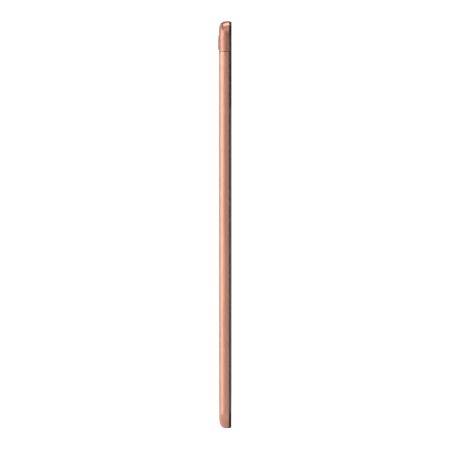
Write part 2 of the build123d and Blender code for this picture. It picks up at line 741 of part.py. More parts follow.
def key_bracket():
    """Steel strip that backs the keys' circuit, with a foot on the plate."""
    strip = block(KEY_PLATE_X, (-1.1, 0.6), KEY_STRIP_Z)
    for z in (193.5, 212.0):
        strip += block((66.5, 71.0), (PLATE_Y[1] + 0.02, PLATE_Y[1] + 0.25), around(z, 5))
    return strip


# ---------------------------------------------------------------- memory card tray
def tray_mouth(gap, x):
    """Rounded opening for the tray's head, or with no gap the head itself."""
    y = (-0.65 - gap, 1.15 + gap)
    z = (TRAY_Z[0] - gap, TRAY_Z[1] + gap)
    face = Plane.YZ.offset(x[0]) * Pos(middle(y), middle(z)) * RectangleRounded(size(y), size(z), 0.5)
    return extrude(face, size(x))


def card_tray():
    """Tray: head that closes the opening flush, and a thin frame with two card places."""
    head = tray_mouth(0, (71.9, 76)) & soft_body(LIP_CHAMFER)
    head -= crossbar(PIN_HOLE_Y, PIN_HOLE_Z, PIN_HOLE_RADIUS, (71, 76))
    frame = block((53.2, 72), (-0.1, 0.6), (171, 182))
    frame -= block((54.2, 65.4), (0.2, 1), (171.8, 181.2))
    frame -= block((55.2, 64.4), (-1, 1), (172.8, 180.2))
    return head + frame - block((66.4, 70.8), (0.2, 1), (172.4, 180.6))


def card_reader():
    """Steel cage round the tray, with the lever's pin and two guides for the push rod."""
    cage = block((51.8, 71.2), (-0.5, 1.0), (170.2, 182.8))
    cage -= block((51, 72), (-0.3, 0.8), (170.6, 182.4))
    cage += block((47.9, 52.5), (-0.5, -0.3), (170.2, 187.0))
    cage += block((52.0, 71.2), (-0.5, -0.3), (182.5, 187.0))
    for x in (57, 67):
        cage += block(around(x, 2), (-0.5, 0.85), (184.4, 186.6))
    cage -= crossbar(PIN_HOLE_Y, PIN_HOLE_Z, ROD_RADIUS + RUNNING_GAP, (50, 72))
    return cage + post(PIVOT_X, PIVOT_Z, PIVOT_RADIUS, (-0.4, 0.75))


def eject_rod():
    """Push rod behind the pin hole."""
    return crossbar(PIN_HOLE_Y, PIN_HOLE_Z, ROD_RADIUS, (51.25, 71.6))


def eject_lever():
    """Lever that turns the rod's push into a push on the tray."""
    lever = slab(around(PIVOT_X, 1.0), LEVER_Y, (172.0, 186.2), 0.35)
    lever += post(PIVOT_X, PIVOT_Z, PIVOT_RADIUS + 0.45, LEVER_Y)
    return lever - post(PIVOT_X, PIVOT_Z, PIVOT_RADIUS + RUNNING_GAP, (-1, 1))


# ---------------------------------------------------------------- one file for each piece
PIECES = {
    "rear_cover": rear_cover,
    "top_cap": top_cap,
    "cap_tape": cap_tape,
    "front_frame": front_frame,
    "mid_plate": mid_plate,
    "cover_glass": cover_glass,
    "glass_adhesive": glass_adhesive,
    "lcd_panel": lcd_panel,
    "diffuser_films": diffuser_films,
    "light_guide": light_guide,
    "led_strip": led_strip,
    "backlight_tray": backlight_tray,
    "display_flex": display_flex,
    "touch_flex": touch_flex,
    "battery_cell_left": lambda: battery_cell(-1),
    "battery_cell_right": lambda: battery_cell(1),
    "battery_board": battery_board,
    "main_board": main_board,
    "processor": processor,
    "board_chips": board_chips,
    "cpu_shield": lambda: shield_can((-30, 9), (188, 214)),
    "radio_shield": lambda: shield_can((-60, -36), (192, 216)),
    "power_shield": lambda: shield_can((14, 38), (178, 200)),
    "board_connectors": board_connectors,
    "graphite_sheet": graphite_sheet,
    "board_screws": board_screws,
    "usb_board": usb_board,
    "usb_c_shell": usb_c_shell,
    "usb_c_tongue": usb_c_tongue,
    "usb_bracket": usb_bracket,
    "board_link_flex": board_link_flex,
    "bottom_microphone": bottom_microphone,
    "speaker_left": lambda: speaker_box(-1),
    "speaker_right": lambda: speaker_box(1),
    "speaker_cone_left": lambda: speaker_cone(-1),
    "speaker_cone_right": lambda: speaker_cone(1),
    "speaker_meshes": speaker_meshes,
    "mic_gaskets": mic_gaskets,
    "headphone_jack": headphone_jack,
    "top_microphone": top_microphone,
    "front_camera": front_camera,
    "light_sensor": light_sensor,
    "wifi_antennas": wifi_antennas,
    "antenna_cables": antenna_cables,
    "camera_ring": camera_ring,
    "camera_window": camera_window,
    "rear_camera_housing": rear_camera_housing,
    "rear_camera_barrel": rear_camera_barrel,
    "rear_camera_lens": rear_camera_lens,
    "rear_camera_flex": rear_camera_flex,
    "power_key": power_key,
    "volume_key": volume_key,
    "power_dome": lambda: domes((POWER_Z,)),
    "volume_domes": lambda: domes((VOLUME_Z - DOME_SPREAD, VOLUME_Z + DOME_SPREAD)),
    "key_flex": key_flex,
    "key_bracket": key_bracket,
    "card_reader": card_reader,
    "card_tray": card_tray,
    "eject_rod": eject_rod,
    "eject_lever": eject_lever,
}

os.makedirs("parts", exist_ok=True)
for name, make in PIECES.items():
    export_step(make(), f"parts/{name}.step")
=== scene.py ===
"""Looks of a slim metal-backed tablet computer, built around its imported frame.

Each sub-assembly is a class that makes its own extra meshes and dresses the frame's nodes.
Each finish is a frozen dataclass that writes one procedural material. Lengths are metres.
"""

from __future__ import annotations

import json
import logging
import math
from dataclasses import dataclass, field
from enum import Enum
from typing import Any, Union

import bmesh
import bpy
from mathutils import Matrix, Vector

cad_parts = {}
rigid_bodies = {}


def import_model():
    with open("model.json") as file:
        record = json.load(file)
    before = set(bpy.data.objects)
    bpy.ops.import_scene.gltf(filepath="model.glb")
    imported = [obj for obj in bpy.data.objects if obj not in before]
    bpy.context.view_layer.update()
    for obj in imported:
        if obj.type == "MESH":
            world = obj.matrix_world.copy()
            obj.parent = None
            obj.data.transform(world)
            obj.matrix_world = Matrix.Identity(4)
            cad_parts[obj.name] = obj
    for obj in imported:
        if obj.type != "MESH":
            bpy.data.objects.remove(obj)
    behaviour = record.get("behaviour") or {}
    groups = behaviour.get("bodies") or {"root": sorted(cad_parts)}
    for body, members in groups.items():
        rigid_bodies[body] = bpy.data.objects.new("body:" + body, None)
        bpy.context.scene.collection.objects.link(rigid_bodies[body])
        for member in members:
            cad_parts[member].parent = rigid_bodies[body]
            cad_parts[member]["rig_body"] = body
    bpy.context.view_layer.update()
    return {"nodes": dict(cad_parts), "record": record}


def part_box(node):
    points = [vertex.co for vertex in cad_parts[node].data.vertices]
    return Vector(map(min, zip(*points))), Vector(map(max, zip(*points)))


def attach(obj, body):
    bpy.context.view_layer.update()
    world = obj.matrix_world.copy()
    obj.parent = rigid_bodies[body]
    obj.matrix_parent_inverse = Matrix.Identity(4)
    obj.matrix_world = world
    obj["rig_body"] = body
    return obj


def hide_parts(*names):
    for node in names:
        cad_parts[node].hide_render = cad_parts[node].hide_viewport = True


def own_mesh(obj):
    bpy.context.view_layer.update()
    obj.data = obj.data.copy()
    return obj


LOG = logging.getLogger("tablet")
MM = 0.001
Colour = tuple[float, float, float]
Triple = tuple[float, float, float]
Value = Union["Signal", bpy.types.NodeSocket, float, int, bool, tuple, str]


# --------------------------------------------------------------------------- node writing
class Signal:
    """A node's output that can be used in Python arithmetic."""

    def __init__(self, web: "Web", socket: bpy.types.NodeSocket) -> None:
        """Wraps a socket.

        Args:
            web: the tree that the socket belongs to.
            socket: the output to wrap.
        """
        self.web = web
        self.socket = socket

    def _math(self, operation: str, *values: Value) -> "Signal":
        """Adds one Math node.

        Args:
            operation: the Math node's operation.
            values: its inputs, in order.

        Returns:
            The node's result.
        """
        node = self.web.add("ShaderNodeMath", {"operation": operation}, dict(enumerate(values)))
        return Signal(self.web, node.outputs[0])

    def __add__(self, other: Value) -> "Signal":
        """Sum."""
        return self._math("ADD", self, other)

    __radd__ = __add__

    def __sub__(self, other: Value) -> "Signal":
        """Difference."""
        return self._math("SUBTRACT", self, other)

    def __rsub__(self, other: Value) -> "Signal":
        """Difference from a plain number."""
        return self._math("SUBTRACT", other, self)

    def __mul__(self, other: Value) -> "Signal":
        """Product."""
        return self._math("MULTIPLY", self, other)

    __rmul__ = __mul__

    def __truediv__(self, other: Value) -> "Signal":
        """Quotient."""
        return self._math("DIVIDE", self, other)

    def above(self, edge: float, soft: float) -> "Signal":
        """Mask that rises from 0 to 1 across an edge.

        Args:
            edge: the value at the middle of the rise.
            soft: half the rise's width.

        Returns:
            The mask.
        """
        return self.web.number(
            "ShaderNodeMapRange",
            {"interpolation_type": "SMOOTHSTEP"},
            {"Value": self, "From Min": edge - soft, "From Max": edge + soft},
        )

    def below(self, edge: float, soft: float) -> "Signal":
        """Mask that falls from 1 to 0 across an edge."""
        return 1.0 - self.above(edge, soft)

    def size(self) -> "Signal":
        """Absolute value."""
        return self._math("ABSOLUTE", self)

    def triangle(self, period: float) -> "Signal":
        """Triangle wave between 0 and half the period."""
        return self._math("PINGPONG", self, period / 2)

    def remainder(self, other: Value) -> "Signal":
        """What is left after whole divisions."""
        return self._math("MODULO", self, other)

    def floor(self) -> "Signal":
        """The whole number below."""
        return self._math("FLOOR", self)


class Web:
    """A node tree that is being written."""

    def __init__(self, tree: bpy.types.NodeTree) -> None:
        """Starts from an empty tree.

        Args:
            tree: the tree, whose nodes are cleared.
        """
        self.tree = tree
        tree.nodes.clear()

    def feed(self, socket: bpy.types.NodeSocket, value: Value) -> None:
        """Links or sets one input.

        Args:
            socket: the input.
            value: an output to link, or a plain value.
        """
        if isinstance(value, Signal):
            value = value.socket
        if isinstance(value, bpy.types.NodeSocket):
            self.tree.links.new(value, socket)
        else:
            socket.default_value = value

    def add(
        self,
        kind: str,
        settings: dict[str, Any] | None = None,
        inputs: dict[Any, Value] | None = None,
    ) -> bpy.types.Node:
        """Adds any node.

        Args:
            kind: the node's type.
            settings: its properties, set first.
            inputs: values or links, by socket name or number.

        Returns:
            The node.
        """
        node = self.tree.nodes.new(kind)
        for name, value in (settings or {}).items():
            setattr(node, name, value)
        for name, value in (inputs or {}).items():
            self.feed(node.inputs[name], value)
        return node

    def number(self, kind: str, settings: dict[str, Any] | None, inputs: dict[Any, Value]) -> Signal:
        """Adds a node and wraps its first output.

        Args:
            kind: the node's type.
            settings: its properties.
            inputs: its sockets.

        Returns:
            The first output.
        """
        return Signal(self, self.add(kind, settings, inputs).outputs[0])


class Surface(Web):
    """The node tree of one material, read in Object coordinates."""

    def __init__(self, material: bpy.types.Material) -> None:
        """Starts a material with its shader and its coordinates.

        Args:
            material: the material to write.
        """
        material.use_nodes = True
        super().__init__(material.node_tree)
        self.output = self.add("ShaderNodeOutputMaterial")
        self.shader = self.add("ShaderNodeBsdfPrincipled")
        self.tree.links.new(self.shader.outputs[0], self.output.inputs[0])
        self.place = self.add("ShaderNodeTexCoord").outputs["Object"]
        axes = self.add("ShaderNodeSeparateXYZ", None, {0: self.place})
        self.x = Signal(self, axes.outputs[0])
        self.y = Signal(self, axes.outputs[1])
        self.z = Signal(self, axes.outputs[2])

    def set(self, **values: Value) -> None:
        """Sets the shader's sockets, named in lower case with underscores."""
        names = {s.name.lower().replace(" ", "_"): s.name for s in self.shader.inputs}
        for name, value in values.items():
            if isinstance(value, tuple) and len(value) == 3:
                value = (*value, 1.0)
            self.feed(self.shader.inputs[names[name]], value)

    def stretched(self, scale: Triple) -> bpy.types.NodeSocket:
        """Object coordinates scaled along each axis.

        Args:
            scale: the factor along X, Y and Z.

        Returns:
            The scaled coordinates.
        """
        return self.add("ShaderNodeMapping", None, {"Vector": self.place, "Scale": scale}).outputs[0]

    def noise(self, width: float, detail: float = 2.0, place: Value | None = None) -> Signal:
        """Cloudy pattern.

        Args:
            width: the size of its clouds.
            detail: octaves of finer clouds.
            place: coordinates to read instead of the object's.

        Returns:
            The pattern, 0 to 1.
        """
        inputs = {"Vector": place or self.place, "Scale": 1.0 / width, "Detail": detail}
        return self.number("ShaderNodeTexNoise", None, inputs)

    def cells(self, width: float, randomness: float = 1.0) -> Signal:
        """Cell pattern.

        Args:
            width: the size of a cell.
            randomness: 0 for a square grid.

        Returns:
            The distance from the nearest cell's middle.
        """
        inputs = {"Vector": self.place, "Scale": 1.0 / width, "Randomness": randomness}
        return self.number("ShaderNodeTexVoronoi", {"feature": "F1"}, inputs)

    def mix(self, mask: Value, low: Value, high: Value) -> bpy.types.NodeSocket:
        """Blends two colours.

        Args:
            mask: 0 for the first, 1 for the second.
            low: first colour.
            high: second colour.

        Returns:
            The blended colour.
        """
        low = (*low, 1.0) if isinstance(low, tuple) else low
        high = (*high, 1.0) if isinstance(high, tuple) else high
        node = self.add("ShaderNodeMix", {"data_type": "RGBA"}, {0: mask, 6: low, 7: high})
        return node.outputs[2]

    def bump(self, height: Signal, depth: float, strength: float = 1.0) -> bpy.types.NodeSocket:
        """Turns a height pattern into a normal.

        Args:
            height: the pattern, 0 to 1.
            depth: its depth in metres.
            strength: how much of it counts.

        Returns:
            The normal.
        """
        inputs = {"Height": height, "Distance": depth, "Strength": strength}
        return self.add("ShaderNodeBump", None, inputs).outputs[0]


# --------------------------------------------------------------------------- finishes
@dataclass(frozen=True)
class Finish:
    """A named finish that writes its material once."""

    name: str

    def material(self) -> bpy.types.Material:
        """The finish's material, written on first use."""
        found = bpy.data.materials.get(self.name)
        if found is None:
            found = bpy.data.materials.new(self.name)
            self.write(Surface(found))
        return found

    def write(self, s: Surface) -> None:
        """Writes the nodes.

        Args:
            s: the empty surface.
        """
        raise NotImplementedError


@dataclass(frozen=True)
class AnodisedMetal(Finish):
    """Bead-blasted and dyed aluminium, with a bright cut lip where the edge is turned."""

    colour: Colour = (0.79, 0.388, 0.272)
    pale: Colour = (0.88, 0.58, 0.47)
    roughness: float = 0.37
    lip_low: float = -1.0
    lip_high: float = -1.0

    def write(self, s: Surface) -> None:
        """Writes blasting grain, faint handling marks and the cut lip."""
        grain = s.noise(0.11 * MM, 3.0)
        cloud = s.noise(21 * MM, 3.0)
        rubbed = s.noise(3.1 * MM, 4.0).above(0.62, 0.10)
        deep = tuple(c * 0.93 for c in self.colour)
        base = s.mix(cloud, self.colour, deep)
        base = s.mix(rubbed * 0.04, base, self.pale)
        rough = self.roughness + grain * 0.06 + cloud * 0.03 - rubbed * 0.012
        if self.lip_high > self.lip_low:
            soft = 0.02 * MM
            lip = s.y.above(self.lip_low, soft) * s.y.below(self.lip_high, soft)
            base = s.mix(lip * 0.8, base, self.pale)
            rough = rough - lip * 0.14
        s.set(
            base_color=base,
            metallic=1.0,
            roughness=rough,
            coat_weight=0.75,
            coat_roughness=0.3,
            normal=s.bump(grain, 0.004 * MM, 0.5),
        )


@dataclass(frozen=True)
class CapPaint(Finish):
    """Metallic paint with fine flakes over plastic, under a thin clear coat."""

    colour: Colour = (0.66, 0.30, 0.21)
    pale: Colour = (0.90, 0.58, 0.46)

    def write(self, s: Surface) -> None:
        """Writes flakes, orange peel and a soft clear coat."""
        flakes = s.cells(0.07 * MM)
        peel = s.noise(0.8 * MM, 2.0)
        cloud = s.noise(25 * MM, 2.0)
        sparkle = flakes.below(0.25, 0.15) * 0.25
        base = s.mix(sparkle, self.colour, self.pale)
        base = s.mix(cloud * 0.12, base, tuple(c * 0.8 for c in self.colour))
        s.set(
            base_color=base,
            metallic=0.94,
            roughness=0.33 + flakes * 0.06,
            coat_weight=0.25,
            coat_roughness=0.12,
            normal=s.bump(peel, 0.003 * MM, 0.4),
        )


@dataclass(frozen=True)
class Moulded(Finish):
    """Moulded plastic with a fine eroded grain."""

    colour: Colour = (0.012, 0.012, 0.013)
    roughness: float = 0.42
    grain: float = 0.16 * MM

    def write(self, s: Surface) -> None:
        """Writes the tool's grain and faint flow clouds."""
        grain = s.noise(self.grain, 3.0)
        flow = s.noise(9 * MM, 3.0)
        pale = tuple(min(1.0, c * 1.7 + 0.004) for c in self.colour)
        s.set(
            base_color=s.mix(flow * 0.5, self.colour, pale),
            roughness=self.roughness + grain * 0.14 + flow * 0.04,
            normal=s.bump(grain, 0.006 * MM, 0.6),
        )


@dataclass(frozen=True)
class BlackGlass(Finish):
    """Cover glass printed black behind, clear over the display, the lens and the sensor, with a painted
    bluish reflection ring in the lens.
    """

    active_x: float = 67.8 * MM
    active_z: tuple[float, float] = (14.1 * MM, 231.1 * MM)
    lens: tuple[float, float] = (0.0, 238.0 * MM)
    sensor: tuple[float, float] = (15.0 * MM, 238.6 * MM)
    front: float = -3.75 * MM
    printed: Colour = (0.0035, 0.0035, 0.004)
    display: Colour = (0.0085, 0.0095, 0.0125)
    lens_radii: tuple[float, float, float] = (0.75 * MM, 1.25 * MM, 1.9 * MM)
    lens_rim: Colour = (0.028, 0.029, 0.032)
    # painted reflection: bluish colour for the ring inside the lens, standing in for its coating's glint
    lens_painted_reflection: Colour = (0.010, 0.016, 0.045)
    pupil_black: Colour = (0.001, 0.001, 0.002)
    sensor_radius: float = 1.0 * MM
    sensor_tint: Colour = (0.020, 0.010, 0.018)

    def spot(self, s: Surface, centre: tuple[float, float]) -> Signal:
        """Distance from a place on the front.

        Args:
            s: the surface.
            centre: the place's x and z.

        Returns:
            The distance in metres.
        """
        away = s.add(
            "ShaderNodeVectorMath",
            {"operation": "DISTANCE"},
            {
                0: s.add("ShaderNodeCombineXYZ", None, {0: s.x, 2: s.z}).outputs[0],
                1: (centre[0], 0.0, centre[1]),
            },
        )
        return Signal(s, away.outputs["Value"])

    def write(self, s: Surface) -> None:
        """Writes the print, the dark display, the lens window with a painted bluish reflection ring, the
        sensor window and smudges.
        """
        soft = 0.04 * MM
        flat = s.y.below(self.front + 0.05 * MM, soft)
        height = s.z.above(self.active_z[0], soft) * s.z.below(self.active_z[1], soft)
        active = s.x.size().below(self.active_x, soft) * height * flat
        smudge = s.noise(16 * MM, 4.0).above(0.56, 0.12)
        base = s.mix(active, self.printed, self.display)
        lens_away = self.spot(s, self.lens)
        inner, middle, outer = self.lens_radii
        ring = lens_away.below(outer, soft) * lens_away.above(middle, soft) * flat
        pupil = lens_away.below(inner, 0.1 * MM) * flat
        # painted reflection: the ring between pupil and rim gets the bluish glint colour
        glow = lens_away.below(middle, soft) * lens_away.above(inner, 0.2 * MM) * flat
        window = self.spot(s, self.sensor).below(self.sensor_radius, soft) * flat
        base = s.mix(ring, base, self.lens_rim)
        base = s.mix(glow, base, self.lens_painted_reflection)
        base = s.mix(pupil, base, self.pupil_black)
        base = s.mix(window, base, self.sensor_tint)
        rough = 0.035 + smudge * 0.03 + s.noise(2.2 * MM, 3.0) * 0.012
        s.set(base_color=base, roughness=rough, ior=1.52, specular_ior_level=0.5)


@dataclass(frozen=True)
class LensGlass(Finish):
    """Coated optical glass, seen through, with a violet reflection of its coating painted into its colour
    towards its rim.
    """

    tint: Colour = (0.72, 0.78, 0.92)
    # painted reflection: violet of the coating's reflection, mixed into the colour
    painted_coating_reflection: Colour = (0.42, 0.40, 0.78)

    def write(self, s: Surface) -> None:
        """Writes clear glass whose colour turns violet towards grazing view, a painted reflection of its
        coating.
        """
        # painted reflection: this facing mask turns the colour violet towards grazing view
        edge = s.add("ShaderNodeLayerWeight", None, {"Blend": 0.35}).outputs["Facing"]
        dust = s.noise(0.5 * MM, 2.0)
        s.set(
            base_color=s.mix(Signal(s, edge), self.tint, self.painted_coating_reflection),
            roughness=0.02 + dust * 0.02,
            transmission_weight=0.85,
            ior=1.5,
        )


@dataclass(frozen=True)
class Steel(Finish):
    """Rolled or drawn steel with fine streaks along one axis."""

    colour: Colour = (0.56, 0.56, 0.57)
    streak: Colour = (0.03, 1.0, 1.0)
    roughness: float = 0.28

    def write(self, s: Surface) -> None:
        """Writes rolling streaks and faint stains."""
        lines = s.noise(0.12 * MM, 3.0, s.stretched(self.streak))
        stain = s.noise(6 * MM, 3.0)
        dark = tuple(c * 0.82 for c in self.colour)
        s.set(
            base_color=s.mix(stain * 0.6, self.colour, dark),
            metallic=1.0,
            roughness=self.roughness + lines * 0.14,
            normal=s.bump(lines, 0.003 * MM, 0.5),
        )


@dataclass(frozen=True)
class CircuitBoard(Finish):
    """Solder mask over tracks, with bright pads showing through."""

    mask: Colour = (0.006, 0.060, 0.034)
    track: Colour = (0.016, 0.115, 0.062)
    pad: Colour = (0.82, 0.62, 0.30)
    lane: float = 2.6 * MM
    track_period: float = 0.18
    hole_pitch: float = 1.7 * MM

    def write(self, s: Surface) -> None:
        """Writes square-running tracks and a scatter of plated holes."""
        flat = s.stretched((1.0, 0.0, 1.0))
        coarse = s.add(
            "ShaderNodeTexVoronoi",
            {"distance": "MANHATTAN", "feature": "F2"},
            {"Vector": flat, "Scale": 1.0 / self.lane, "Randomness": 0.85},
        ).outputs["Distance"]
        tracks = (Signal(s, coarse).triangle(self.track_period) * (2 / self.track_period)).above(0.55, 0.08)
        holes = s.cells(self.hole_pitch).below(0.10, 0.015)
        base = s.mix(tracks, self.mask, self.track)
        base = s.mix(holes, base, self.pad)
        s.set(
            base_color=base,
            metallic=holes,
            roughness=0.34 - tracks * 0.08,
            normal=s.bump(tracks, 0.02 * MM, 0.6),
        )


@dataclass(frozen=True)
class PouchFoil(Finish):
    """Laminated foil of a battery pouch: finely embossed, slightly puckered."""

    colour: Colour = (0.10, 0.10, 0.11)

    def write(self, s: Surface) -> None:
        """Writes the emboss and broad puckers."""
        emboss = s.cells(0.55 * MM, randomness=0.35)
        pucker = s.noise(14 * MM, 3.0)
        s.set(
            base_color=s.mix(pucker * 0.6, self.colour, (0.18, 0.18, 0.19)),
            metallic=0.75,
            roughness=0.36 + emboss * 0.12,
            normal=s.bump(emboss * 0.25 + pucker, 0.12 * MM, 0.6),
        )


@dataclass(frozen=True)
class FlexCircuit(Finish):
    """Amber polyimide with copper lines under it."""

    film: Colour = (0.30, 0.105, 0.018)
    copper: Colour = (0.62, 0.27, 0.10)
    line_pitch: float = 0.36 * MM

    def write(self, s: Surface) -> None:
        """Writes parallel lines and a slight waviness."""
        lines = (s.x.triangle(self.line_pitch) * (2 / self.line_pitch)).above(0.52, 0.06)
        wavy = s.noise(5 * MM, 2.0)
        s.set(
            base_color=s.mix(lines * 0.75, self.film, self.copper),
            metallic=lines * 0.55,
            roughness=0.30 + wavy * 0.10,
            coat_weight=0.4,
            normal=s.bump(lines, 0.010 * MM, 0.6),
        )


@dataclass(frozen=True)
class ChipPackage(Finish):
    """Moulded epoxy of a chip, with ground top."""

    colour: Colour = (0.020, 0.020, 0.022)

    def write(self, s: Surface) -> None:
        """Writes fine filler grain and ground streaks."""
        filler = s.noise(0.09 * MM, 2.0)
        ground = s.noise(0.15 * MM, 2.0, s.stretched((1.0, 1.0, 0.06)))
        s.set(
            base_color=s.mix(filler * 0.5, self.colour, (0.045, 0.045, 0.048)),
            roughness=0.46 + ground * 0.16,
            normal=s.bump(filler, 0.005 * MM, 0.6),
        )


@dataclass(frozen=True)
class Acrylic(Finish):
    """Milky optical plate with a field of tiny light-taking dots."""

    colour: Colour = (0.84, 0.87, 0.88)

    def write(self, s: Surface) -> None:
        """Writes the dot field."""
        dots = s.cells(0.9 * MM, randomness=0.0).below(0.22, 0.04)
        s.set(
            base_color=s.mix(dots, self.colour, (0.97, 0.98, 0.98)),
            roughness=0.16 + dots * 0.4,
            subsurface_weight=0.15,
            normal=s.bump(dots, 0.01 * MM, 0.5),
        )


@dataclass(frozen=True)
class SoftBlack(Finish):
    """Rubber, foam tape or composite: matt, with an open grain."""

    colour: Colour = (0.015, 0.015, 0.015)
    pore: float = 0.25 * MM
    roughness: float = 0.74

    def write(self, s: Surface) -> None:
        """Writes pores and dusty lightening."""
        pores = s.cells(self.pore)
        dust = s.noise(4 * MM, 4.0).above(0.55, 0.15)
        s.set(
            base_color=s.mix(dust * 0.3, self.colour, (0.05, 0.05, 0.05)),
            roughness=self.roughness + pores * 0.15,
            normal=s.bump(pores, 0.02 * MM, 0.6),
        )


@dataclass(frozen=True)
class Gold(Finish):
    """Thin gold plating on a contact, worn paler along the wiping track."""

    colour: Colour = (0.86, 0.60, 0.22)

    def write(self, s: Surface) -> None:
        """Writes plating grain and wear."""
        wear = s.noise(0.4 * MM, 3.0).above(0.58, 0.10)
        s.set(
            base_color=s.mix(wear * 0.5, self.colour, (0.80, 0.72, 0.52)),
            metallic=1.0,
            roughness=0.22 + wear * 0.12,
        )


@dataclass(frozen=True)
class StudioFloor(Finish):
    """Plain pale paper of the studio."""

    colour: Colour = (0.93, 0.93, 0.93)
    glow: float = 0.92
    paper_light: float = 0.13

    def write(self, s: Surface) -> None:
        """Writes a faint paper tooth, with a white glow to the eye alone."""
        tooth = s.noise(3 * MM, 2.0)
        s.set(
            base_color=s.mix(tooth * 0.05, self.colour, (0.90, 0.90, 0.90)),
            roughness=0.85,
            emission_color=(1.0, 1.0, 1.0),
            emission_strength=self.paper_light,
        )
        glow = s.add("ShaderNodeEmission", None, {"Color": (1.0, 1.0, 1.0, 1.0), "Strength": self.glow})
        both = s.add("ShaderNodeAddShader", None, {0: s.shader.outputs[0], 1: glow.outputs[0]})
        seen = s.add("ShaderNodeLightPath").outputs["Is Camera Ray"]
        mixed = s.add("ShaderNodeMixShader", None, {0: seen, 1: s.shader.outputs[0], 2: both.outputs[0]})
        s.tree.links.new(mixed.outputs[0], s.output.inputs[0])


class Look(Enum):
    """Every finish on the tablet."""

    COVER = AnodisedMetal("cover_metal", lip_low=-2.31 * MM, lip_high=-2.05 * MM)
    TRIM = AnodisedMetal("trim_metal", roughness=0.22)
    CAP = CapPaint("cap_paint")
    FRAME = Moulded("frame_plastic", roughness=0.30)
    BLACK = Moulded("black_plastic")
    GLASS = BlackGlass("black_glass")
    CELL = Moulded("display_cell", colour=(0.010, 0.011, 0.016), roughness=0.12, grain=0.5 * MM)
    LENS = LensGlass("lens_glass")
    STEEL = Steel("stamped_steel")
    BRIGHT = Steel("plated_steel", colour=(0.66, 0.65, 0.63), roughness=0.16)
    SCREW = Steel("screw_steel", colour=(0.42, 0.42, 0.44), streak=(1.0, 0.1, 1.0), roughness=0.24)
    PLATE = Steel("alloy_plate", colour=(0.60, 0.61, 0.63), streak=(1.0, 1.0, 0.04), roughness=0.36)
    POUCH = PouchFoil("pouch_foil")
    BOARD = CircuitBoard("circuit_board")
    CHIP = ChipPackage("chip_package")
    FLEX = FlexCircuit("flexible_circuit")
    ACRYLIC = Acrylic("light_plate")
    TAPE = SoftBlack("foam_tape", colour=(0.03, 0.03, 0.03))
    RUBBER = SoftBlack("black_rubber")
    CONE = SoftBlack("cone_plate", colour=(0.05, 0.05, 0.055), pore=0.6 * MM, roughness=0.5)
    GRAPHITE = Steel("graphite", colour=(0.12, 0.12, 0.13), streak=(0.3, 1.0, 1.0), roughness=0.42)
    GOLD = Gold("gold_plating")
    FLOOR = StudioFloor("studio_paper")

    def material(self) -> bpy.types.Material:
        """The finish's material."""
        return self.value.material()


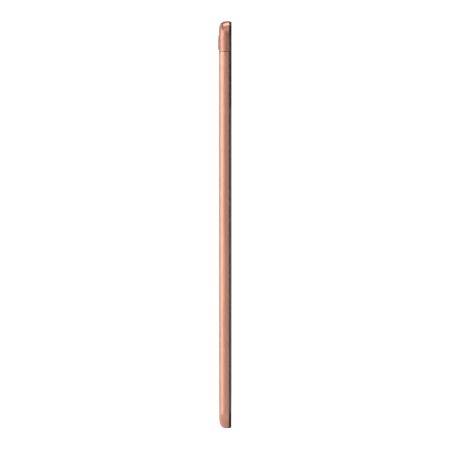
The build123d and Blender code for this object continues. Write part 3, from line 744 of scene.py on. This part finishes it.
# --------------------------------------------------------------------------- geometry nodes
class Pattern(Web):
    """A Geometry Nodes group with named sizes, grown into a plain mesh."""

    def __init__(self, name: str, sizes: dict[str, float | int]) -> None:
        """Starts a group.

        Args:
            name: the group's name.
            sizes: its named inputs; whole numbers make integer sockets.
        """
        group = bpy.data.node_groups.new(name, "GeometryNodeTree")
        super().__init__(group)
        self.name = name
        self.sizes = sizes
        for label, value in sizes.items():
            kind = "NodeSocketInt" if isinstance(value, int) else "NodeSocketFloat"
            group.interface.new_socket(label, in_out="INPUT", socket_type=kind)
        group.interface.new_socket("Geometry", in_out="OUTPUT", socket_type="NodeSocketGeometry")
        self.source = self.add("NodeGroupInput")
        self.parts: list[bpy.types.NodeSocket] = []

    def size(self, label: str) -> Signal:
        """A named input."""
        return Signal(self, self.source.outputs[label])

    def vector(self, x: Value = 0.0, y: Value = 0.0, z: Value = 0.0) -> bpy.types.NodeSocket:
        """A vector from three values."""
        return self.add("ShaderNodeCombineXYZ", None, {0: x, 1: y, 2: z}).outputs[0]

    def row(self, count: Value, start: Value, step: Value) -> bpy.types.NodeSocket:
        """Points at an even pitch.

        Args:
            count: how many.
            start: the first point.
            step: from one point to the next.

        Returns:
            The points.
        """
        settings = {"mode": "OFFSET"}
        inputs = {"Count": count, "Start Location": start, "Offset": step}
        return self.add("GeometryNodeMeshLine", settings, inputs).outputs[0]

    def bar(self, size: Value) -> bpy.types.NodeSocket:
        """A small box."""
        return self.add("GeometryNodeMeshCube", None, {"Size": size}).outputs[0]

    def sweep_ring(
        self, radius: Value, section: tuple[float, float], corner: float, centre: Triple
    ) -> None:
        """Sweeps a rounded section round a circle that faces along the thickness.

        Args:
            radius: of the circle through the section's middle.
            section: the section's size across the radius and along the thickness.
            corner: the rounding of its corners.
            centre: the ring's middle.
        """
        path = self.add("GeometryNodeCurvePrimitiveCircle", None, {"Resolution": 96, "Radius": radius})
        inputs = {"Width": section[0], "Height": section[1]}
        box = self.add("GeometryNodeCurvePrimitiveQuadrilateral", None, inputs)
        inputs = {"Curve": box.outputs[0], "Radius": corner, "Count": 5}
        soft = self.add("GeometryNodeFilletCurve", {"mode": "POLY"}, inputs)
        inputs = {"Curve": path.outputs[0], "Profile Curve": soft.outputs[0]}
        swept = self.add("GeometryNodeCurveToMesh", None, inputs)
        inputs = {"Geometry": swept.outputs[0], "Translation": centre, "Rotation": (math.pi / 2, 0.0, 0.0)}
        self.parts.append(self.add("GeometryNodeTransform", None, inputs).outputs[0])

    def repeat(self, points: Value, shape: Value, **extra: Value) -> None:
        """Puts a shape on each point and keeps the result.

        Args:
            points: where.
            shape: what.
            extra: the node's other inputs, such as Scale.
        """
        inputs = {"Points": points, "Instance": shape, **extra}
        self.parts.append(self.add("GeometryNodeInstanceOnPoints", None, inputs).outputs[0])

    def grow(self, piece: str, look: Look) -> bpy.types.Object:
        """Closes the group and turns its result into a plain mesh.

        Args:
            piece: the new object's name.
            look: its finish.

        Returns:
            The object, with no modifier left on it.
        """
        join = self.add("GeometryNodeJoinGeometry")
        for part in self.parts:
            self.tree.links.new(part, join.inputs[0])
        real = self.add("GeometryNodeRealizeInstances", None, {0: join.outputs[0]})
        inputs = {"Geometry": real.outputs[0], "Material": look.material()}
        dressed = self.add("GeometryNodeSetMaterial", None, inputs)
        self.add("NodeGroupOutput", None, {0: dressed.outputs[0]})
        seed = bpy.data.objects.new(piece + "_seed", bpy.data.meshes.new(piece + "_seed"))
        bpy.context.scene.collection.objects.link(seed)
        modifier = seed.modifiers.new(self.name, "NODES")
        modifier.node_group = self.tree
        for item in self.tree.interface.items_tree:
            if item.in_out == "INPUT":
                modifier[item.identifier] = self.sizes[item.name]
        graph = bpy.context.evaluated_depsgraph_get()
        mesh = bpy.data.meshes.new_from_object(seed.evaluated_get(graph))
        bpy.data.objects.remove(seed)
        mesh.name = piece
        grown = bpy.data.objects.new(piece, mesh)
        bpy.context.scene.collection.objects.link(grown)
        LOG.info("grew %s: %d faces", piece, len(mesh.polygons))
        return grown


# --------------------------------------------------------------------------- sub-assemblies
@dataclass
class Assembly:
    """A group of pieces on one or more bodies."""

    nodes: dict[str, bpy.types.Object]
    slots: dict[str, str]
    looks: dict[str, Look] = field(default_factory=dict)

    def dress(self) -> None:
        """Gives each of the group's nodes its finish."""
        for name, look in self.looks.items():
            node = self.nodes[name]
            node.data.materials.clear()
            node.data.materials.append(look.material())
            LOG.info("dressed %s in %s", name, look.value.name)

    @staticmethod
    def keep(piece: bpy.types.Object, slot: str, body: str = "tablet") -> None:
        """Attaches an added piece to its body.

        Args:
            piece: the piece.
            slot: the record's material that it is made of; not used.
            body: the body that it rides.
        """
        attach(piece, body)

    def finished_copy(self, name: str, angle: float = 32.0) -> bpy.types.Object:
        """Stands in for a node with merged corners, soft curves and crisp edges.

        Args:
            name: the node.
            angle: the sharpest turn, in degrees, that is still shaded as a curve.

        Returns:
            The new piece, already riding and dressed.
        """
        source = self.nodes[name]
        mesh = source.data.copy()
        mesh.name = name + "_skin"
        if mesh.has_custom_normals:
            mesh.attributes.remove(mesh.attributes["custom_normal"])
        work = bmesh.new()
        work.from_mesh(mesh)
        bmesh.ops.remove_doubles(work, verts=work.verts, dist=0.002 * MM)
        limit = math.radians(angle)
        for edge in work.edges:
            edge.smooth = len(edge.link_faces) == 2 and edge.calc_face_angle(0.0) < limit
        for face in work.faces:
            face.smooth = True
        work.to_mesh(mesh)
        work.free()
        piece = bpy.data.objects.new(name + "_skin", mesh)
        bpy.context.scene.collection.objects.link(piece)
        weights = piece.modifiers.new("even_normals", "WEIGHTED_NORMAL")
        weights.keep_sharp = True
        weights.weight = 100
        mesh.materials.clear()
        mesh.materials.append(self.looks[name].material())
        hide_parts(name)
        self.keep(piece, self.slots[name], source["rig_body"])
        return piece


@dataclass
class Enclosure(Assembly):
    """Metal back, top cap, front frame and glass."""

    looks: dict[str, Look] = field(
        default_factory=lambda: {
            "rear_cover": Look.COVER,
            "top_cap": Look.CAP,
            "front_frame": Look.FRAME,
            "cover_glass": Look.GLASS,
            "mid_plate": Look.PLATE,
            "cap_tape": Look.TAPE,
            "glass_adhesive": Look.TAPE,
            "graphite_sheet": Look.GRAPHITE,
        }
    )
    shown: tuple[str, ...] = ("rear_cover", "top_cap", "front_frame", "cover_glass")

    def build(self) -> None:
        """Dresses the casing and refines the pieces that show."""
        self.dress()
        for name in self.shown:
            self.finished_copy(name)


@dataclass
class Display(Assembly):
    """Cell, films, guide, lamps and their circuits."""

    looks: dict[str, Look] = field(
        default_factory=lambda: {
            "lcd_panel": Look.CELL,
            "diffuser_films": Look.ACRYLIC,
            "light_guide": Look.ACRYLIC,
            "led_strip": Look.FLEX,
            "backlight_tray": Look.STEEL,
            "display_flex": Look.FLEX,
            "touch_flex": Look.FLEX,
        }
    )

    def build(self) -> None:
        """Dresses the display stack."""
        self.dress()


@dataclass
class Power(Assembly):
    """Battery cells and their board."""

    looks: dict[str, Look] = field(
        default_factory=lambda: {
            "battery_cell_left": Look.POUCH,
            "battery_cell_right": Look.POUCH,
            "battery_board": Look.BOARD,
        }
    )

    def build(self) -> None:
        """Dresses the battery."""
        self.dress()


@dataclass
class Electronics(Assembly):
    """Main board, lower board, shields, chips, connectors and circuits."""

    looks: dict[str, Look] = field(
        default_factory=lambda: {
            "main_board": Look.BOARD,
            "processor": Look.CHIP,
            "board_chips": Look.CHIP,
            "cpu_shield": Look.STEEL,
            "radio_shield": Look.STEEL,
            "power_shield": Look.STEEL,
            "board_connectors": Look.BLACK,
            "board_screws": Look.SCREW,
            "usb_board": Look.BOARD,
            "board_link_flex": Look.FLEX,
            "wifi_antennas": Look.FLEX,
            "antenna_cables": Look.BLACK,
            "light_sensor": Look.FLEX,
        }
    )
    part: float = 0.6 * MM
    main_parts: tuple[float, float] = (6 * MM, 5 * MM)
    lower_parts: tuple[float, float] = (4 * MM, 2.2 * MM)
    seed: int = 7
    sockets_mm: tuple[tuple[float, ...], ...] = ((-13, -5, 170.5, 174), (-3, 3, 218, 221))
    pin_pitch: float = 0.4 * MM
    pin: Triple = (0.16 * MM, 0.08 * MM, 0.5 * MM)
    vent_pitch: float = 2.0 * MM
    vent_radius: float = 0.35 * MM
    vent_depth: float = 0.03 * MM
    vent_sunk: float = 0.01 * MM

    def build(self) -> None:
        """Dresses the boards and sets out their small parts, pins and shield vents."""
        self.dress()
        self.small_parts("main_board", self.main_parts, (24, 3), 1.9 * MM)
        self.small_parts("usb_board", self.lower_parts, (5, 3), 1.5 * MM)
        self.pins()
        self.vents()

    def small_parts(
        self, board: str, margin: tuple[float, float], grid: tuple[int, int], pitch: float
    ) -> None:
        """Sets rows of capacitors and resistors on the back of a board.

        Args:
            board: the board's node.
            margin: the first part's distance from the board's side and lower edge.
            grid: how many columns and rows.
            pitch: from one part to the next.
        """
        low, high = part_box(board)
        sizes = {"Pitch": pitch, "Part": self.part, "Columns": grid[0], "Rows": grid[1], "Seed": self.seed}
        rows = Pattern(board + "_rows", sizes)
        columns, part, step = rows.size("Columns"), rows.size("Part"), rows.size("Pitch")
        points = rows.row(columns * rows.size("Rows"), (0.0, 0.0, 0.0), (0.0, 0.0, 0.0))
        index = rows.number("GeometryNodeInputIndex", None, {})
        nudge = rows.add(
            "FunctionNodeRandomValue",
            {"data_type": "FLOAT"},
            {2: -0.2, 3: 0.2, "ID": index, "Seed": rows.size("Seed")},
        ).outputs[1]
        place = rows.vector(
            low.x + margin[0] + (index.remainder(columns) + Signal(rows, nudge)) * step,
            high.y + part * 0.25,
            low.z + margin[1] + (index / columns).floor() * step * 1.6,
        )
        moved = rows.add("GeometryNodeSetPosition", None, {"Geometry": points, "Position": place})
        rows.repeat(moved.outputs[0], rows.bar(rows.vector(part * 0.9, part * 0.5, part * 0.5)))
        self.keep(rows.grow(board + "_parts", Look.CHIP), "chip_package")

    def pins(self) -> None:
        """Gold pins along both long sides of the sockets on the main board's back."""
        rows = Pattern("pin_rows", {"Pitch": self.pin_pitch})
        foot = rows.bar(self.pin)
        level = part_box("main_board")[1].y + 0.05 * MM
        for left, right, bottom, top in self.sockets_mm:
            count = int((right - left) * MM / self.pin_pitch) - 1
            for edge in (bottom, top):
                start = (left * MM + self.pin_pitch, level, edge * MM)
                rows.repeat(rows.row(count, start, rows.vector(rows.size("Pitch"))), foot)
        self.keep(rows.grow("connector_pins", Look.GOLD), "plated_steel")

    def vents(self) -> None:
        """Pierced vents in the lids of the shields, as thin dark plugs let into the steel."""
        grid = Pattern("vent_grid", {"Pitch": self.vent_pitch, "Radius": self.vent_radius})
        inputs = {"Vertices": 12, "Radius": grid.size("Radius"), "Depth": self.vent_depth}
        plug = grid.add("GeometryNodeMeshCylinder", None, inputs)
        for shield in ("cpu_shield", "radio_shield", "power_shield"):
            low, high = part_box(shield)
            columns = int((high.x - low.x) / self.vent_pitch) - 1
            lines = int((high.z - low.z) / self.vent_pitch) - 1
            for line in range(lines):
                height = low.z + (line + 1) * self.vent_pitch
                start = (low.x + self.vent_pitch, high.y - self.vent_sunk, height)
                points = grid.row(columns, start, grid.vector(grid.size("Pitch")))
                grid.repeat(points, plug.outputs[0], Rotation=(-math.pi / 2, 0.0, 0.0))
        self.keep(grid.grow("shield_vents", Look.RUBBER), "steel_sheet")


@dataclass
class ChargingSocket(Assembly):
    """Charging socket with its contacts, its bracket and the lower microphone."""

    looks: dict[str, Look] = field(
        default_factory=lambda: {
            "usb_c_shell": Look.BRIGHT,
            "usb_c_tongue": Look.BLACK,
            "usb_bracket": Look.STEEL,
            "bottom_microphone": Look.BRIGHT,
            "mic_gaskets": Look.RUBBER,
        }
    )
    contacts: int = 12
    pitch: float = 0.5 * MM
    contact: Triple = (0.26 * MM, 0.03 * MM, 3.6 * MM)
    contact_height: float = 2.4 * MM
    tongue_half: float = 0.35 * MM

    def build(self) -> None:
        """Dresses the socket and lays the contacts on both faces of the tongue."""
        self.dress()
        low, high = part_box("usb_c_tongue")
        middle = (low + high) / 2
        rows = Pattern("contact_rows", {"Pitch": self.pitch, "Count": self.contacts})
        pad = rows.bar(self.contact)
        first = -(self.contacts - 1) / 2 * self.pitch
        for side in (-1, 1):
            start = (first, middle.y + side * (self.tongue_half + 0.01 * MM), low.z + self.contact_height)
            rows.repeat(rows.row(rows.size("Count"), start, rows.vector(rows.size("Pitch"))), pad)
        self.keep(rows.grow("usb_contacts", Look.GOLD), "plated_steel")


@dataclass
class Loudspeakers(Assembly):
    """Speaker boxes, moving plates and the woven screens behind the holes."""

    looks: dict[str, Look] = field(
        default_factory=lambda: {
            "speaker_left": Look.BLACK,
            "speaker_right": Look.BLACK,
            "speaker_cone_left": Look.CONE,
            "speaker_cone_right": Look.CONE,
            "speaker_meshes": Look.STEEL,
        }
    )
    centre: float = 48 * MM
    wire: float = 0.07 * MM
    gap: float = 0.20 * MM

    def build(self) -> None:
        """Dresses the boxes and weaves both screens."""
        self.dress()
        low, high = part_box("speaker_meshes")
        width, depth = high.x - self.centre, high.y - low.y
        level = (low.z + high.z) / 2
        weave = Pattern("screen_weave", {"Wire": self.wire, "Pitch": self.gap})
        wire = weave.size("Wire")
        across = weave.bar(weave.vector(wire, depth, wire))
        along = weave.bar(weave.vector(2 * width, wire, wire))
        for side in (-1, 1):
            left = side * self.centre - width
            count = int(2 * width / self.gap)
            start = (left + self.gap / 2, (low.y + high.y) / 2, level - self.wire / 3)
            weave.repeat(weave.row(count, start, weave.vector(weave.size("Pitch"))), across)
            lines = int(depth / self.gap)
            start = (side * self.centre, low.y + self.gap / 2, level + self.wire / 3)
            weave.repeat(weave.row(lines, start, weave.vector(0.0, weave.size("Pitch"))), along)
        piece = weave.grow("speaker_screens", Look.STEEL)
        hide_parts("speaker_meshes")
        self.keep(piece, "steel_sheet")


@dataclass
class TopEdge(Assembly):
    """Headphone socket, top microphone and front camera."""

    looks: dict[str, Look] = field(
        default_factory=lambda: {
            "headphone_jack": Look.BLACK,
            "top_microphone": Look.FLEX,
            "front_camera": Look.BLACK,
        }
    )

    def build(self) -> None:
        """Dresses the pieces along the top edge."""
        self.dress()


@dataclass
class RearCamera(Assembly):
    """Ring, window, housing and the focusing barrel with its lens."""

    looks: dict[str, Look] = field(
        default_factory=lambda: {
            "camera_ring": Look.TRIM,
            "camera_window": Look.LENS,
            "rear_camera_housing": Look.BLACK,
            "rear_camera_barrel": Look.BLACK,
            "rear_camera_lens": Look.LENS,
            "rear_camera_flex": Look.FLEX,
        }
    )
    crown: tuple[float, float] = (1.0 * MM, 0.6 * MM)
    crown_round: float = 0.18 * MM
    neck: tuple[float, float] = (0.75 * MM, 1.0 * MM)
    bore: float = 2.95 * MM
    neck_drop: float = 0.3 * MM
    baffles: int = 5
    baffle_wire: float = 0.18 * MM
    baffle_radius: float = 1.12 * MM
    baffle_step: tuple[float, float] = (0.1 * MM, 0.25 * MM)
    baffle_depth: float = 0.95 * MM

    def build(self) -> None:
        """Dresses the camera, turns its ring and sets the baffles below its lens."""
        self.dress()
        self.ring()
        self.finished_copy("rear_camera_lens", 60.0)
        self.baffle_rings()

    def ring(self) -> None:
        """Turns the ring from two rounded sections swept round the lens."""
        low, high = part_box("camera_ring")
        middle, radius = (low + high) / 2, (high.x - low.x) / 2
        turned = Pattern("turned_ring", {"Radius": radius, "Crown": self.crown[0], "Neck": self.neck[0]})
        crown_path = turned.size("Radius") - turned.size("Crown") * 0.5
        neck_path = turned.size("Neck") * 0.5 + self.bore
        crown_level = high.y - self.crown[1] / 2
        neck_level = high.y - self.crown[1] - self.neck_drop
        turned.sweep_ring(crown_path, self.crown, self.crown_round, (middle.x, crown_level, middle.z))
        turned.sweep_ring(neck_path, self.neck, 0.02 * MM, (middle.x, neck_level, middle.z))
        piece = turned.grow("camera_ring_turned", Look.TRIM)
        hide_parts("camera_ring")
        self.keep(piece, "copper_metal")

    def baffle_rings(self) -> None:
        """Stepped rings inside the barrel, narrowing away from the lens."""
        low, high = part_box("rear_camera_barrel")
        middle = (low + high) / 2
        steps = Pattern("baffle_steps", {"Radius": self.baffle_radius})
        wire = (self.baffle_wire, self.baffle_wire)
        for step in range(self.baffles):
            radius = steps.size("Radius") - self.baffle_step[0] * step
            level = high.y - self.baffle_depth - self.baffle_step[1] * step
            steps.sweep_ring(radius, wire, 0.03 * MM, (middle.x, level, middle.z))
        self.keep(steps.grow("lens_baffles", Look.BLACK), "black_plastic", "focus_barrel")


@dataclass
class SideKeys(Assembly):
    """Power key, volume key, and the domes, circuit and bracket behind them."""

    looks: dict[str, Look] = field(
        default_factory=lambda: {
            "power_key": Look.TRIM,
            "volume_key": Look.TRIM,
            "power_dome": Look.BRIGHT,
            "volume_domes": Look.BRIGHT,
            "key_flex": Look.FLEX,
            "key_bracket": Look.STEEL,
        }
    )
    dome_joints: dict[str, str] = field(
        default_factory=lambda: {"power_dome": "power_press", "volume_domes": "volume_rock"}
    )
    collapsed: float = 0.15

    def build(self) -> None:
        """Dresses the keys and softens their caps and the snap domes under them."""
        self.dress()
        self.finished_copy("power_key")
        self.finished_copy("volume_key")
        for dome, joint in self.dome_joints.items():
            foot = tuple(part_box(dome)[0])
            piece = self.finished_copy(dome)
            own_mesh(piece)


@dataclass
class CardTray(Assembly):
    """Memory-card tray, its reader, the push rod and the eject lever."""

    looks: dict[str, Look] = field(
        default_factory=lambda: {
            "card_tray": Look.COVER,
            "card_reader": Look.STEEL,
            "eject_rod": Look.BRIGHT,
            "eject_lever": Look.BRIGHT,
        }
    )

    def build(self) -> None:
        """Dresses the tray and softens its head."""
        self.dress()
        self.finished_copy("card_tray")


@dataclass
class Studio:
    """Plain pale floor, soft lamps and the camera, looking square at the keyless long edge."""

    picture_height: float = 270.6 * MM
    distance: float = 10.0
    near_edge: float = 74.7 * MM
    sensor: float = 36.0
    lift: float = 122.5 * MM
    side_step: float = 0.18 * MM
    sight: float = 60.0
    paper_half: float = 16.0
    dim: Colour = (1.0, 0.92, 0.85)
    dim_strength: float = 0.05
    white_strength: float = 1.02

    def build(self) -> None:
        """Sets out the studio."""
        self.floor()
        self.world()
        self.lamps()
        self.camera()

    def camera(self) -> None:
        """Long lens, level with the tablet's middle."""
        data = bpy.data.cameras.new("view")
        data.sensor_width = self.sensor
        data.lens = self.sensor * (self.distance - self.near_edge) / self.picture_height
        data.clip_end = self.sight
        camera = bpy.data.objects.new("view", data)
        camera.location = (-self.distance, self.side_step, self.lift)
        camera.rotation_euler = (math.pi / 2, 0.0, -math.pi / 2)
        bpy.context.scene.collection.objects.link(camera)
        bpy.context.scene.camera = camera

    def floor(self) -> None:
        """One large sheet of pale paper under the tablet."""
        mesh = bpy.data.meshes.new("floor")
        work = bmesh.new()
        bmesh.ops.create_grid(work, x_segments=1, y_segments=1, size=self.paper_half)
        work.to_mesh(mesh)
        work.free()
        mesh.materials.append(Look.FLOOR.material())
        floor = bpy.data.objects.new("floor", mesh)
        bpy.context.scene.collection.objects.link(floor)

    def world(self) -> None:
        """White surroundings to the eye, dimmer as light."""
        world = bpy.data.worlds.new("studio")
        world.use_nodes = True
        bpy.context.scene.world = world
        web = Web(world.node_tree)
        seen = web.add("ShaderNodeLightPath").outputs["Is Camera Ray"]
        inputs = {"Color": (*self.dim, 1.0), "Strength": self.dim_strength}
        dim = web.add("ShaderNodeBackground", None, inputs)
        inputs = {"Color": (1.0, 1.0, 1.0, 1.0), "Strength": self.white_strength}
        white = web.add("ShaderNodeBackground", None, inputs)
        both = web.add("ShaderNodeMixShader", None, {0: seen, 1: dim.outputs[0], 2: white.outputs[0]})
        web.add("ShaderNodeOutputWorld", None, {0: both.outputs[0]})
        bpy.context.scene.view_settings.view_transform = "Standard"

    def softbox(
        self, name: str, place: Triple, size: tuple[float, float], glow: float, tint: Colour
    ) -> None:
        """Adds one rectangular lamp that faces the tablet's middle.

        Args:
            name: its name.
            place: where it hangs.
            size: its width and height.
            glow: its brightness, where 1 is as bright as white paper in the picture.
            tint: its colour.
        """
        data = bpy.data.lights.new(name, "AREA")
        data.shape = "RECTANGLE"
        data.size, data.size_y = size
        data.energy = glow * math.pi * size[0] * size[1]
        data.color = tint
        lamp = bpy.data.objects.new(name, data)
        lamp.location = place
        lamp.rotation_mode = "QUATERNION"
        middle = Vector((0.0, 0.0, self.lift))
        lamp.rotation_quaternion = (middle - Vector(place)).to_track_quat("-Z", "Y")
        lamp.visible_camera = False
        bpy.context.scene.collection.objects.link(lamp)

    def lamps(self) -> None:
        """A broad lamp behind the metal back, dimmer ones beside it, overhead and by the screen."""
        cool, white, warm = (0.98, 0.99, 1.0), (1.0, 1.0, 1.0), (1.0, 0.88, 0.76)
        self.softbox("back_lamp", (-0.30, 1.45, 0.30), (1.30, 2.2), 1.95, cool)
        self.softbox("rear_lamp", (0.95, 1.15, 0.30), (0.9, 2.0), 1.0, white)
        self.softbox("side_lamp", (-1.15, 1.05, 0.30), (0.95, 2.0), 1.15, white)
        self.softbox("fill_lamp", (-2.4, 0.25, 0.30), (1.6, 2.0), 0.20, warm)
        self.softbox("top_lamp", (0.35, 0.10, 1.5), (1.1, 0.6), 3.1, white)
        self.softbox("crown_lamp", (-0.75, 0.25, 1.35), (0.9, 0.9), 0.95, white)
        self.softbox("screen_lamp", (-0.55, -0.75, 0.10), (0.6, 0.20), 7.5, white)


def main() -> None:
    """Builds the tablet's looks around its frame, and its studio."""
    logging.basicConfig(level=logging.INFO, format="%(name)s: %(message)s")
    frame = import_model()
    nodes = frame["nodes"]
    slots = {part["node"]: part["material_slot"] for part in frame["record"]["subparts"]}
    groups = (
        Enclosure, Display, Power, Electronics, ChargingSocket,
        Loudspeakers, TopEdge, RearCamera, SideKeys, CardTray,
    )
    for group in groups:
        LOG.info("building %s", group.__name__)
        group(nodes, slots).build()
    Studio().build()


if __name__ == "__main__":
    main()
